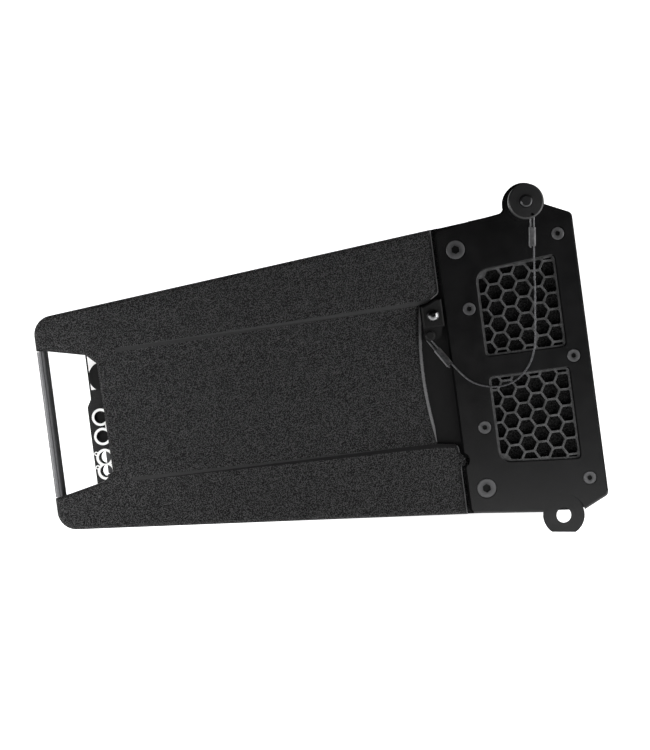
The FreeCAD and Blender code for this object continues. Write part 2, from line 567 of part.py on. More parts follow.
# ---------------------------------------------------------------- rear rigging bracket
cheek = prism([(BACK_WALL, -64.0), (BACK_WALL, 66.0), (356.0, 66.0), (363.6, 58.0), (363.6, 14.0), (367.0, 8.0),
               (367.0, -56.0), (359.0, -64.0)], CHEEK_IN, CHEEK_OUT)
cheek = round_across(cheek, [(356.0, 66.0), (363.6, 58.0), (367.0, -56.0), (359.0, -64.0), (363.6, 14.0),
                             (367.0, 8.0)], 3.0, 0.5)
cheek = cheek.cut([rod(f, z, RING_HOLE_R, 0, 30) for f, z in RING_HOLES]
                  + [rod(REAR_PIN_F, REAR_PIN_Z, REAR_PIN_R + 0.1, 0, 30)])
web = block(BACK_WALL, BACK_WALL + 4, -24.0, 24.0, -64.0, 66.0)
web_bolts = [(s * 19.0, z) for s in (1, -1) for z in (-52.0, 54.0)]
stop = block(BACK_WALL + 3, 364.0, -CHEEK_IN - 1, CHEEK_IN + 1, -26.4, -22.4)
bracket = web.fuse([cheek, other_side(cheek), stop]).removeSplitter()
bracket = bracket.cut([disc(y, z, 3.15, BACK_WALL - 1, BACK_WALL + 5) for y, z in web_bolts])


def bolt_back(y, z, r, head_r, head_h, f_seat, length, key):
    """A round-headed socket bolt driven forwards into the rear wall."""
    shape = turned([(f_seat + head_h, 0), (f_seat + head_h, head_r - 0.8), (f_seat + head_h * 0.6, head_r),
                    (f_seat, head_r), (f_seat, r), (f_seat - length, r), (f_seat - length, 0)], y, z)
    return shape.cut(hexagon_back(y, z, key, f_seat + head_h * 0.4, f_seat + head_h + 1))


parts["bracket_bolts"] = group([bolt_back(y, z, 3.0, 4.6, 3.0, BACK_WALL + 4, 14.0, 4.0) for y, z in web_bolts])
parts["cabinet_shell"] = parts["cabinet_shell"].cut(
    [disc(y, z, 3.15, BACK_WALL - 12, BACK_WALL + 1) for y, z in web_bolts])
parts["rear_bracket"] = bracket


def ring(f, z, r_out, r_in):
    return rod(f, z, r_out, CHEEK_OUT, CHEEK_OUT + 0.3).cut(rod(f, z, r_in, CHEEK_OUT - 1, CHEEK_OUT + 1))


rings = [ring(f, z, 6.7, RING_HOLE_R) for f, z in RING_HOLES[:2]]
small_rings = [(f + 6.3, z + 3.7) for f, z in RING_HOLES[2:]]
low_pair = join([rod(f, z, 6.7, CHEEK_OUT, CHEEK_OUT + 0.3) for f, z in RING_HOLES[2:]]
                + [rod(f, z, 1.6, CHEEK_OUT, CHEEK_OUT + 0.3) for f, z in small_rings])
rings.append(low_pair.cut([rod(f, z, RING_HOLE_R, CHEEK_OUT - 1, CHEEK_OUT + 1) for f, z in RING_HOLES[2:]]
                          + [rod(f, z, 0.8, CHEEK_OUT - 1, CHEEK_OUT + 1) for f, z in small_rings]))
rings += [block(353.6, 355.2, CHEEK_OUT, CHEEK_OUT + 0.3, -10.4, -6.0)]
label = block(336.0, 362.3, CHEEK_OUT, CHEEK_OUT + 0.3, 21.0, 54.0).cut(
    rod(REAR_PIN_F, REAR_PIN_Z, 8.0, 10, 20))
pair("bracket_markings", label, *rings)

link = prism([(338.0, -22.0), (338.0, 54.0), (344.0, 60.0), (356.0, 60.0), (363.0, 54.0), (363.0, -16.0),
              (357.0, -22.0)], -9.4, 9.4)
slot_r = REAR_PIN_R + 0.35
slot = join([rod(REAR_PIN_F, REAR_PIN_Z, slot_r, -12, 12),
             rod(REAR_PIN_F, REAR_PIN_Z - LINK_TRAVEL + 6, slot_r, -12, 12),
             block(REAR_PIN_F - slot_r, REAR_PIN_F + slot_r, -12, 12, REAR_PIN_Z - LINK_TRAVEL + 6, REAR_PIN_Z)])
link = link.cut([slot, rod(350.0, 51.0, 4.8, -12, 12)])
parts["link_bar"] = link

shaft, knob, button = lock_pin(REAR_PIN_F, REAR_PIN_Z, REAR_PIN_R, -19.5, CHEEK_OUT + 0.7, 34.5, 11.4, 3.4)
for name, shape in (("rear_pin", shaft), ("rear_pin_knob", knob), ("rear_pin_button", button)):
    parts[name] = other_side(shape)

# ---------------------------------------------------------------- front: grille, foam, baffle
GRILLE_F, GRILLE_T = 3.0, 1.5
GRILLE_Y, GRILLE_Z = 221.5, 97.0
hole_across, pitch = 6.4, 8.6
outer = Part.makePolygon([V(-GRILLE_F - GRILLE_T, y, z) for y, z in
                          ((-GRILLE_Y, -GRILLE_Z), (GRILLE_Y, -GRILLE_Z), (GRILLE_Y, GRILLE_Z),
                           (-GRILLE_Y, GRILLE_Z), (-GRILLE_Y, -GRILLE_Z))])
holes = []
row_step = pitch * math.sqrt(3) / 2
r_hex = hole_across / math.sqrt(3)
rows = int((GRILLE_Z - 9.0) / row_step)
for j in range(-rows, rows + 1):
    count = int((GRILLE_Y - 10.0) / pitch)
    for i in range(-count, count + 1):
        y = (i + 0.5 * (j % 2)) * pitch
        z = j * row_step
        if abs(y) > GRILLE_Y - 8.0:
            continue
        if abs(z) < 8.0 and abs(y) < 8.0:
            continue
        pts = [V(-GRILLE_F - GRILLE_T, y + r_hex * math.sin(math.radians(60 * k)),
                 z + r_hex * math.cos(math.radians(60 * k))) for k in range(7)]
        holes.append(Part.makePolygon(pts))
sheet = Part.Face([outer] + holes).extrude(V(GRILLE_T, 0, 0))
returns = [block(GRILLE_F + GRILLE_T, 11.6, -GRILLE_Y, GRILLE_Y, z, z + 1.5) for z in (-GRILLE_Z, GRILLE_Z - 1.5)]
returns += [block(GRILLE_F + GRILLE_T, 11.6, y, y + 1.5, -GRILLE_Z, GRILLE_Z) for y in (-GRILLE_Y, GRILLE_Y - 1.5)]
frame_ring = returns[0].fuse(returns[1:]).removeSplitter()
grille = sheet.fuse(frame_ring)
print("grille solids", len(grille.Solids), "holes", len(holes))
parts["front_grille"] = grille
grille_foam = block(5.0, 11.0, -219.4, 219.4, -95.0, 95.0)

baffle = wedge(BAFFLE_F, BAFFLE_F + BAFFLE_T, -218.6, 218.6, WALL + 0.2)
baffle_cuts = [disc(s * WOOFER_Y, 0, 73.0, 20, 60) for s in (1, -1)]
baffle_cuts += [block(20, 60, -41.4, 41.4, -89.4, 89.4)]
duct_space = [block(10, 202, 207.7, 220.0, s * 40.0 - 32.6, s * 40.0 + 32.6) for s in (1, -1)]
baffle_cuts += duct_space + [other_side(d) for d in duct_space]
DRIVER_SCREW_R = 76.5
screw_places = [(s * WOOFER_Y + DRIVER_SCREW_R * math.cos(math.radians(a)), DRIVER_SCREW_R * math.sin(math.radians(a)))
                for s in (1, -1) for a in (22.5, 67.5, 112.5, 157.5, 202.5, 247.5, 292.5, 337.5)]
horn_places = [(y, z) for y in (-36.0, 36.0) for z in (-92.0, 92.0)]
baffle_cuts += [disc(y, z, 2.1, 20, 60) for y, z in screw_places + horn_places]
parts["front_baffle"] = baffle.cut(baffle_cuts)


def front_bolt(y, z, r, head_r, f_seat, length):
    """A pan-headed screw driven backwards from the front."""
    shape = turned([(f_seat - 2.2, 0), (f_seat - 2.2, head_r - 1.0), (f_seat - 1.4, head_r), (f_seat, head_r),
                    (f_seat, r), (f_seat + length, r), (f_seat + length, 0)], y, z)
    return shape.cut(hexagon_back(y, z, 2.4, f_seat - 3.0, f_seat - 1.0))


parts["front_screws"] = group([front_bolt(y, z, 1.95, 3.2, FLANGE_F, 14.0) for y, z in screw_places + horn_places])

# port ducts: four flat channels against the side walls, open into the cabinet at the back
ducts = []
for s in (1, -1):
    body = block(13.0, 200.0, 208.0, 219.0, s * 40.0 - 32.0, s * 40.0 + 32.0)
    ducts.append(body.cut(block(15.0, 201.0, 210.0, 220.0, s * 40.0 - 30.5, s * 40.0 + 30.5)))
pair("port_ducts", *ducts)


# ---------------------------------------------------------------- woofers
def woofer(y):
    basket = turned([(30, 80), (34, 80), (34, 72), (70, 55), (76, 55), (76, 30), (72, 30), (72, 50), (68, 52),
                     (32, 69), (30, 69)], y, 0)
    gaps = []
    for k in range(6):
        gap = block(40.0, 67.0, y - 17.0, y + 17.0, 44.0, 80.0)
        gap.rotate(V(0, y, 0), V(1, 0, 0), 60 * k)
        gaps.append(gap)
    basket = basket.cut(gaps + [disc(py, pz, 2.1, 20, 60) for py, pz in screw_places])
    roll_out = [(30 - 6.5 * math.sin(math.radians(a)), 63.5 - 6.5 * math.cos(math.radians(a)))
                for a in range(0, 181, 20)]
    roll_in = [(30 - 5.6 * math.sin(math.radians(a)), 63.5 - 5.6 * math.cos(math.radians(a)))
               for a in range(180, -1, -20)]
    surround = turned([(29.0, 55.0)] + [(29.0, 57.1)] + roll_out[1:-1] + [(29.0, 69.9), (29.0, 73.0), (30.0, 73.0)]
                      + [(30.0, 69.1)] + roll_in[1:-1] + [(30.0, 57.9), (30.0, 55.0)], y, 0)
    cone = turned([(30.0, 58.0), (31.6, 58.0), (58.0, 19.6), (56.2, 19.6), (30.0, 56.0)], y, 0)
    cap_out, cap_in = [], []
    for k in range(9):
        t = k / 8.0
        cap_out.append((43.4 + 8.0 * t * t, 26.0 * t))
        cap_in.append((44.2 + 8.0 * t * t, 25.6 * t))
    rim = 30.0 + (56.0 - 26.0) * 26.2 / 36.4
    cap = turned(cap_out[:-1] + [(rim - 0.6, 26.6)] + [(rim - 0.05, 25.9)] + list(reversed(cap_in[:-1])), y, 0)
    cap = cap.cut(cone)
    coil = turned([(54.0, 18.9), (54.0, 19.6), (75.0, 19.6), (75.0, 20.0), (84.0, 20.0), (84.0, 18.9)], y, 0)
    steps = 10
    front, back = [], []
    for k in range(steps + 1):
        r = 19.6 + (50.8 - 19.6) * k / steps
        f = 69.6 + (1.3 if k % 2 else -0.6) * (0 if k in (0, steps) else 1)
        front.append((f, r))
        back.append((f + 0.6, r))
    spider = turned(front + list(reversed(back)), y, 0)
    top_plate = tube(y, 0, 50.0, 20.6, 76.0, 82.0)
    magnet = tube(y, 0, 48.0, 26.0, 82.0, 96.0)
    pole = disc(y, 0, 50.0, 96.0, 102.0).fuse(disc(y, 0, 18.3, 77.0, 96.0)).cut(disc(y, 0, 4.0, 60, 110))
    pole = pole.removeSplitter()
    return basket, surround, cone, cap, coil, spider, top_plate, magnet, pole


left, right = woofer(WOOFER_Y), woofer(-WOOFER_Y)
for side, pieces in (("_left", left), ("_right", right)):
    basket, surround, cone, cap, coil, spider, top_plate, magnet, pole = pieces
    parts["woofer_cone" + side] = group([cone, cap, coil])
    parts["suspension" + side] = group([surround, spider])
parts["woofer_baskets"] = group([left[0], right[0]])
parts["woofer_motors"] = group(list(left[6:]) + list(right[6:]))


# ---------------------------------------------------------------- waveguide and compression driver
def section(f, a, b):
    return Part.makePolygon([V(-f, y, z) for y, z in ((-a, -b), (a, -b), (a, b), (-a, b), (-a, -b))])


def flare(rows):
    return Part.makeLoft([section(*r) for r in rows], True, True)


horn = flare([(30.0, 41.0, 89.0), (60.0, 25.0, 86.5), (104.0, 10.0, 83.0)])
horn = horn.fuse(block(30.0, 34.0, -44.4, 44.4, -95.4, 95.4))
horn = horn.cut([flare([(29.0, 38.6, 86.1), (60.0, 21.5, 83.5), (105.0, 6.8, 79.9)])])
horn = horn.cut([disc(y, z, 2.1, 20, 60) for y, z in horn_places]
                + [disc(s * WOOFER_Y, 0, 80.5, 29, 35) for s in (1, -1)])
parts["waveguide"] = horn.removeSplitter()
shaper = flare([(104.0, 10.0, 83.0), (130.0, 14.0, 56.0), (166.0, 24.0, 24.0)])
shaper = shaper.fuse(disc(0, 0, 44.0, 160.0, 166.0))
shaper = shaper.cut([flare([(103.0, 6.8, 79.9), (130.0, 10.5, 52.0), (158.0, 16.0, 18.0)]), disc(0, 0, 18.0, 150, 170)])
driver_bolt_places = [(38.0 * math.cos(math.radians(a)), 38.0 * math.sin(math.radians(a))) for a in (45, 135, 225, 315)]
shaper = shaper.cut([disc(y, z, 3.15, 155, 170) for y, z in driver_bolt_places])
parts["wave_shaper"] = shaper.removeSplitter()
driver = tube(0, 0, 48.0, 18.0, 166.0, 182.0).fuse(tube(0, 0, 48.0, 30.0, 182.0, 196.0)).removeSplitter()
driver = driver.cut([disc(y, z, 3.15, 160, 184) for y, z in driver_bolt_places])
dome_pts = [(188.0 + 5.0 * math.cos(math.radians(a)), 28.0 * math.sin(math.radians(a))) for a in range(0, 91, 15)]
dome_back = [(188.6 + 5.0 * math.cos(math.radians(a)), 28.0 * math.sin(math.radians(a))) for a in range(90, -1, -15)]
diaphragm = turned(dome_pts + [(188.0, 29.8), (188.6, 29.8)] + dome_back, 0, 0)
cover = turned([(196.0, 0), (196.0, 44.0), (202.0, 42.0), (205.0, 36.0), (205.0, 0)], 0, 0)
parts["compression_driver"] = group([driver, diaphragm, cover])
parts["driver_bolts"] = group([turned([(157.0, 0), (157.0, 4.6), (160.0, 4.6), (160.0, 3.0), (180.0, 3.0), (180.0, 0)],
                                      y, z) for y, z in driver_bolt_places])

# ---------------------------------------------------------------- rear panels and electronics
PANEL_F = BACK_WALL + 3.0
panel = block(BACK_WALL + 0.8, PANEL_F, AMP_Y0, AMP_Y1, -AMP_Z, AMP_Z)
gasket = block(BACK_WALL, BACK_WALL + 0.8, AMP_Y0, AMP_Y1, -AMP_Z, AMP_Z).cut(
    block(320, 330, AMP_Y0 + 6, AMP_Y1 - 6, -AMP_Z + 6, AMP_Z - 6))
panel_screw_places = [(y, z) for y in (AMP_Y0 + 3.4, 111.0, AMP_Y1 - 3.4) for z in (-AMP_Z + 3.4, AMP_Z - 3.4)]
screw_through = [disc(y, z, 1.65, 310, 335) for y, z in panel_screw_places]
panel_screws = [bolt_back(y, z, 1.5, 2.9, 1.8, PANEL_F, 9.0, 1.8) for y, z in panel_screw_places]
pair("panel_screws", *panel_screws)
parts["cabinet_shell"] = parts["cabinet_shell"].cut(screw_through + [other_side(s) for s in screw_through])

MAINS = [(170.0, 34.0), (170.0, -8.0)]
AUDIO = [(128.0, 34.0), (128.0, -8.0)]
DATA = [(88.0, 34.0), (88.0, -8.0)]
SELECT = [(88.0, -43.0), (128.0, -43.0)]
LEVEL = (52.0, 36.0)
PUSH = (52.0, 8.0)
LATCH = (AUDIO[0][0], AUDIO[0][1] + 9.6)


def socket(y, z, bore, pins, f0=BACK_WALL - 22.0):
    """A panel socket: square flange, round body and pin cavities."""
    body = block(PANEL_F, PANEL_F + 2.0, y - 13.0, y + 13.0, z - 15.5, z + 15.5)
    body = body.makeFillet(2.0, [e for e in body.Edges if e.BoundBox.XLength > 1])
    body = body.fuse([disc(y, z, 11.8, f0, PANEL_F), disc(y, z, 11.0, PANEL_F, PANEL_F + 3.4)]).removeSplitter()
    cuts = [disc(y, z, bore, PANEL_F - 13.0, PANEL_F + 5)]
    body = body.cut(cuts)
    keys = [disc(y + 5.0 * math.cos(math.radians(a)), z + 5.0 * math.sin(math.radians(a)), 1.3,
                 PANEL_F - 14.0, PANEL_F - 3.0) for a in pins]
    return body.fuse(keys)


def latched(shape):
    """The input socket has a narrow way for its sprung latch tab."""
    y, z = LATCH
    return shape.cut(block(PANEL_F - 2.0, PANEL_F + 6, y - 3.1, y + 3.1, z - 0.6, z + 4.6))


mains = [socket(y, z, 9.6, (90, 210, 330)) for y, z in MAINS]
audio = [latched(socket(*AUDIO[0], 8.4, (30, 150, 270))), socket(*AUDIO[1], 9.4, (30, 150, 270))]
data = []
for y, z in DATA:
    body = block(PANEL_F, PANEL_F + 2.0, y - 13.0, y + 13.0, z - 15.5, z + 15.5)
    body = body.makeFillet(2.0, [e for e in body.Edges if e.BoundBox.XLength > 1])
    body = body.fuse(disc(y, z, 11.8, BACK_WALL - 18.0, PANEL_F)).removeSplitter()
    data.append(body.cut(block(PANEL_F - 12, PANEL_F + 5, y - 6.2, y + 6.2, z - 5.0, z + 4.0)))
parts["panel_sockets"] = group(mains + audio + data)
y, z = LATCH
parts["latch_tab"] = block(PANEL_F - 1.6, PANEL_F + 4.6, y - 2.8, y + 2.8, z - 0.2, z + 2.6)


def dial(y, z, r, tall):
    """A knob with a fluted skirt and an index groove; its spindle runs through the panel."""
    body = turned([(PANEL_F + 0.6, 0), (PANEL_F + 0.6, r), (PANEL_F + 1.6, r), (PANEL_F + tall - 0.8, r - 0.9),
                   (PANEL_F + tall, r - 1.6), (PANEL_F + tall, 0)], y, z)
    flutes = []
    for k in range(12):
        a = math.radians(30 * k + 15)
        flutes.append(disc(y + (r + 0.4) * math.cos(a), z + (r + 0.4) * math.sin(a), 0.9, PANEL_F, PANEL_F + 20))
    index = block(PANEL_F + tall - 0.8, PANEL_F + tall + 1, y - 0.4, y + 0.4, z + r * 0.35, z + r)
    return body.cut(flutes + [index]).fuse(disc(y, z, 2.9, PANEL_F - 8.0, PANEL_F + 1.0))


parts["level_knob"] = dial(*LEVEL, 8.0, 10.5)
parts["selector_1"] = dial(*SELECT[0], 5.6, 8.0)
parts["selector_2"] = dial(*SELECT[1], 5.6, 8.0)
parts["push_button"] = turned([(PANEL_F - 6.0, 0), (PANEL_F - 6.0, 3.0), (PANEL_F + 3.0, 3.0), (PANEL_F + 3.6, 2.4),
                               (PANEL_F + 3.6, 0)], *PUSH)
window_pane = block(PANEL_F - 0.8, PANEL_F + 0.4, 36.5, 67.5, -30.0, -10.0)
parts["display_window"] = window_pane
lamp_places = [(40.0 + 8.0 * k, -44.0) for k in range(4)]
parts["status_lamps"] = group([turned([(PANEL_F - 4.0, 0), (PANEL_F - 4.0, 1.5), (PANEL_F + 0.6, 1.5),
                                       (PANEL_F + 1.2, 1.0), (PANEL_F + 1.4, 0)], y, z) for y, z in lamp_places])

panel_cuts = [disc(y, z, 11.9, 300, 335) for y, z in MAINS + AUDIO + DATA]
panel_cuts += [disc(y, z, 3.0, 300, 335) for y, z in [LEVEL] + SELECT]
panel_cuts += [disc(*PUSH, 3.1, 300, 335)] + [disc(y, z, 1.55, 300, 335) for y, z in lamp_places]
panel_cuts += [block(PANEL_F - 0.8, PANEL_F + 1, 36.4, 67.6, -30.1, -9.9)]
panel_cuts += [block(PANEL_F - 2.1, PANEL_F + 1, LATCH[0] - 3.1, LATCH[0] + 3.1, LATCH[1] - 0.6, LATCH[1] + 4.6)]
panel_cuts += screw_through
parts["amp_panel"] = panel.cut(panel_cuts)
gasket = gasket.cut(screw_through)
pair("panel_gaskets", gasket)

sink = block(BACK_WALL + 0.8, PANEL_F, -AMP_Y1, -AMP_Y0, -AMP_Z, AMP_Z)
fins = [block(PANEL_F - 0.5, 336.0, -186.0 + 8.0 * k, -183.4 + 8.0 * k, -50.0, 50.0) for k in range(20)]
sink = sink.fuse(fins).removeSplitter()
sink = sink.fuse(block(300.0, BACK_WALL + 1.5, -170.0, -52.0, -44.0, 44.0)).removeSplitter()
parts["heat_sink"] = sink.cut([other_side(s) for s in screw_through])

tray = block(248.0, BACK_WALL - WALL - 0.5, 36.0, 186.0, -53.0, -51.5)
tray = tray.fuse([block(248.0, 249.5, 36.0, 186.0, -53.0, 53.0),
                  block(248.0, BACK_WALL - WALL - 0.5, 36.0, 37.5, -53.0, 53.0),
                  block(248.0, BACK_WALL - WALL - 0.5, 184.5, 186.0, -53.0, 53.0)]).removeSplitter()
tray = tray.cut([block(255.0, 262.0, 60.0 + 20.0 * k, 70.0 + 20.0 * k, -60.0, -50.0) for k in range(5)])
parts["amp_chassis"] = tray
boards = [block(252.0, 292.0, 42.0, 180.0, -46.0, -44.2), block(294.0, 295.6, 42.0, 180.0, -40.0, 49.0),
          block(298.2, 300.0, -176.0, -46.0, -48.0, 48.0)]
parts["circuit_boards"] = group(boards)
caps = [post(262.0 + 20.0 * (k % 2), 56.0 + 21.0 * (k // 2), 9.0, -44.2, -14.0) for k in range(6)]
core_block = block(256.0, 290.0, 134.0, 172.0, -44.2, -14.0)
transformer = core_block.makeFillet(2.0, [e for e in core_block.Edges if e.BoundBox.ZLength > 20])
power_chips = [block(292.0, 298.2, -170.0 + 26.0 * k, -152.0 + 26.0 * k, -30.0, -6.0) for k in range(5)]
coils = [Part.makeTorus(9.0, 3.6, V(-294.0, -150.0 + 34.0 * k, 22.0), V(1, 0, 0)) for k in range(3)]
parts["board_parts"] = group(caps + [transformer] + power_chips + coils)

upper = prism([(120.0, half(120.0) - WALL - 0.3), (240.0, half(240.0) - WALL - 0.3),
               (240.0, half(240.0) - WALL - 10.3), (120.0, half(120.0) - WALL - 10.3)], -190.0, 190.0)
lower = upper.mirror(V(0, 0, 0), V(0, 0, 1))
parts["foam_pads"] = group([grille_foam, upper, lower])

# ---------------------------------------------------------------- stand it on the ground
def stand(shape):
    placed = shape.copy()
    placed.rotate(V(0, 0, 0), V(0, 1, 0), -TILT_DEG)
    return placed


def standing(f, z):
    """Where a place in the side view comes to lie once tipped, as (x, z)."""
    x = -f
    c, s = math.cos(TILT), math.sin(TILT)
    return x * c - z * s, x * s + z * c


lug_x, lug_z = standing(EAR_F, -EAR_Z)
GROUND = lug_z - LUG_FLAT
ends = [stand(parts[n]).optimalBoundingBox(True, False) for n in ("cabinet_shell", "side_plates", "handle_bars")]
x_low, x_high = min(b.XMin for b in ends), max(b.XMax for b in ends)
SHIFT = V(-(x_low + x_high) / 2, 0, -GROUND)
print("from", round(x_low, 3), "to", round(x_high, 3), "lowest", round(min(b.ZMin for b in ends) - GROUND, 3),
      "shift", SHIFT)
for name, shape in parts.items():
    placed = stand(shape)
    placed.translate(SHIFT)
    placed.exportStep("parts/" + name + ".step")
print(len(parts), "nodes")


def row(f, y, z):
    x, up = standing(f, z)
    return [round((x + SHIFT.x) / 1000, 6), round(y / 1000, 6), round((up + SHIFT.z) / 1000, 6)]


for name, spot in (("ear", (EAR_F, 235.0, EAR_Z)), ("lug", (EAR_F, 229.0, -EAR_Z)), ("level", (PANEL_F, *LEVEL)),
                   ("select1", (PANEL_F, *SELECT[0])), ("select2", (PANEL_F, *SELECT[1])),
                   ("angle3", (*RING_HOLES[2][:1], 0, RING_HOLES[2][1])),
                   ("angle4", (*RING_HOLES[3][:1], 0, RING_HOLES[3][1])),
                   ("top", (200.0, 0, half(200.0))), ("bottom", (200.0, 0, -half(200.0)))):
    print(name, row(*spot))
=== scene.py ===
"""Looks of the line array speaker: materials, wire lanyards, markings and a plain studio."""

import json
import math

import bpy
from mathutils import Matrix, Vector


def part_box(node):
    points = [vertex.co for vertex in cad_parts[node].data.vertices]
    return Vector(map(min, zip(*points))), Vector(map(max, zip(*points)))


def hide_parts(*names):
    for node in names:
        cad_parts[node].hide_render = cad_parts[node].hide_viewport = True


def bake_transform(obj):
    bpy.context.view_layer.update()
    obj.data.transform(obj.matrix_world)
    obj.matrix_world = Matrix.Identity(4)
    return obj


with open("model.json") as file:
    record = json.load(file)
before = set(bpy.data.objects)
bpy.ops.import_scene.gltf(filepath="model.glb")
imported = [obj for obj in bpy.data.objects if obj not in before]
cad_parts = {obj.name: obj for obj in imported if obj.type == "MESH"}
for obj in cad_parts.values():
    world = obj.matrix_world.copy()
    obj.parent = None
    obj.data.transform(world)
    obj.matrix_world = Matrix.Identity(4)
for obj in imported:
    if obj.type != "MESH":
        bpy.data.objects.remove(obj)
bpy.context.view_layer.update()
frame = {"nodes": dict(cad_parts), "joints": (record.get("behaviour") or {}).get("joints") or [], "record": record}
NODES = frame["nodes"]

MM = 0.001
FRONT_RIM = 12.0            # mm behind the front: the painted highlight on the plates' forward-facing faces lies only behind this


# ---------------------------------------------------------------- places taken from the frame
def axis_of(joint):
    """The direction of a joint."""
    return Vector(next(j["axis"] for j in frame["joints"] if j["name"] == joint)).normalized()


FORWARD = axis_of("push_button_press")      # the way the speaker faces, tipped up a little
UP = axis_of("link_bar_lift")
ACROSS = Vector((0, 1, 0))
_low, _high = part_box("front_pin_left")
PIN_AXIS = Vector(((_low.x + _high.x) / 2, 0, (_low.z + _high.z) / 2))
PIN_BEHIND, PIN_ABOVE = 32.0, 108.0         # where the pin axis is in the cabinet, mm


def at(f, z, y=0.0):
    """A place given in mm: f behind the front, z above the horn axis, y to the left."""
    return PIN_AXIS + FORWARD * (PIN_BEHIND - f) * MM + UP * (z - PIN_ABOVE) * MM + ACROSS * y * MM


# the inner edges of the raised bands, mm: their height above or below the horn axis falls to the rear
RIDGE_FROM, RIDGE_TO = (113.0, 48.0), (318.0, 43.6)     # behind the front, from the horn axis
RIDGE_MIDDLE = 1.4                                      # from the edge to the middle of the ridge
RIDGE_HALF = 1.7
RIDGE_SLOPE = (RIDGE_FROM[1] - RIDGE_TO[1]) / (RIDGE_TO[0] - RIDGE_FROM[0])
RIDGE_START = RIDGE_FROM[1] + RIDGE_FROM[0] * RIDGE_SLOPE + RIDGE_MIDDLE
RIDGE_FRONT, RIDGE_REAR = 96.0, 326.0                   # where the ridges begin and end
RIDGE_OUT = 233.95                                      # ridges lie below the bands' outer face

# the smooth recess behind the side plates, painted darker as shade, mm
RECESS_OUT = (222.0, 227.4)                             # its floor lies between these, from the middle
RECESS_REAR = 116.0
RECESS_HALF = 60.0                                      # above and below the horn axis

# the bevel at the front edge of the cabinet's side, which carries a painted highlight, mm
BEVEL_FOOT = 229.4                                      # on the middle panel
BAND_RISE = 2.8                                         # the bands stand out by this much more
BAND_FROM = 51.0                                        # the bands begin this far from the horn axis
EDGE_FROM = 90.0                                        # behind the front
EDGE_WIDTH = 1.6


# ---------------------------------------------------------------- material building blocks
class Shade:
    """A material with its nodes, and a few short ways to add to them."""

    def __init__(self, name, colour, rough, metal=0.0, specular=0.5, coat=0.0):
        self.mat = bpy.data.materials.new(name)
        self.mat.use_nodes = True
        self.nodes = self.mat.node_tree.nodes
        self.links = self.mat.node_tree.links
        self.shader = self.nodes["Principled BSDF"]
        self.shader.inputs["Base Color"].default_value = (*colour, 1)
        self.shader.inputs["Roughness"].default_value = rough
        self.shader.inputs["Metallic"].default_value = metal
        self.shader.inputs["Specular IOR Level"].default_value = specular
        self.shader.inputs["Coat Weight"].default_value = coat
        self.where = self.nodes.new("ShaderNodeTexCoord").outputs["Object"]
        self.last_normal = None

    def link(self, a, b):
        self.links.new(a, b)

    def noise(self, scale, detail=3.0, rough=0.5, where=None):
        node = self.nodes.new("ShaderNodeTexNoise")
        node.inputs["Scale"].default_value = scale
        node.inputs["Detail"].default_value = detail
        node.inputs["Roughness"].default_value = rough
        self.link(where or self.where, node.inputs["Vector"])
        return node.outputs["Fac"]

    def cells(self, scale, smooth=True):
        node = self.nodes.new("ShaderNodeTexVoronoi")
        node.feature = "SMOOTH_F1" if smooth else "F1"
        node.inputs["Scale"].default_value = scale
        self.link(self.where, node.inputs["Vector"])
        return node.outputs["Distance"]

    def ramp(self, value, stops):
        node = self.nodes.new("ShaderNodeValToRGB")
        while len(node.color_ramp.elements) < len(stops):
            node.color_ramp.elements.new(0.5)
        for element, (place, shade) in zip(node.color_ramp.elements, stops):
            element.position = place
            element.color = (*shade, 1) if hasattr(shade, "__len__") else (shade, shade, shade, 1)
        self.link(value, node.inputs["Fac"])
        return node.outputs["Color"]

    def math(self, kind, *values):
        node = self.nodes.new("ShaderNodeMath")
        node.operation = kind
        for value, socket in zip(values, node.inputs):
            if hasattr(value, "is_linked"):
                self.link(value, socket)
            else:
                socket.default_value = value
        return node.outputs[0]

    def along(self, direction, start=None):
        """How far a place is along a direction, in mm, from the upper pin's axis or from a given start."""
        node = self.nodes.new("ShaderNodeVectorMath")
        node.operation = "DOT_PRODUCT"
        self.link(self.where, node.inputs[0])
        node.inputs[1].default_value = Vector(direction) / MM
        origin = PIN_AXIS.dot(Vector(direction)) / MM if start is None else start
        return self.math("SUBTRACT", node.outputs["Value"], origin)

    def facing(self, direction):
        """How squarely the surface faces a direction: 1 when it looks that way."""
        node = self.nodes.new("ShaderNodeVectorMath")
        node.operation = "DOT_PRODUCT"
        self.link(self.nodes.new("ShaderNodeNewGeometry").outputs["Normal"], node.inputs[0])
        node.inputs[1].default_value = Vector(direction)
        return node.outputs["Value"]

    def less(self, value, limit):
        return self.math("LESS_THAN", value, limit)

    def more(self, value, limit):
        return self.math("GREATER_THAN", value, limit)

    def both(self, *tests):
        result = tests[0]
        for test in tests[1:]:
            result = self.math("MULTIPLY", result, test)
        return result

    def bump(self, height, depth, strength=1.0):
        node = self.nodes.new("ShaderNodeBump")
        node.inputs["Distance"].default_value = depth
        node.inputs["Strength"].default_value = strength
        self.link(height, node.inputs["Height"])
        if self.last_normal is not None:
            self.link(self.last_normal, node.inputs["Normal"])
        self.last_normal = node.outputs["Normal"]
        self.link(self.last_normal, self.shader.inputs["Normal"])
        return self

    def colour(self, output):
        self.link(output, self.shader.inputs["Base Color"])
        return self

    def roughness(self, output):
        self.link(output, self.shader.inputs["Roughness"])
        return self

    def edges(self, low=0.5, high=0.62):
        """Painted highlight on convex edges and painted shade in hollows, from the shape itself."""
        node = self.nodes.new("ShaderNodeNewGeometry")
        return self.ramp(node.outputs["Pointiness"], [(low, 0.0), (high, 1.0)])

    def mix(self, factor, a, b):
        node = self.nodes.new("ShaderNodeMix")
        node.data_type = "RGBA"
        self.link(factor, node.inputs["Factor"])
        for value, socket in ((a, node.inputs[6]), (b, node.inputs[7])):
            if hasattr(value, "is_linked"):
                self.link(value, socket)
            else:
                socket.default_value = (*value, 1)
        return node.outputs[2]


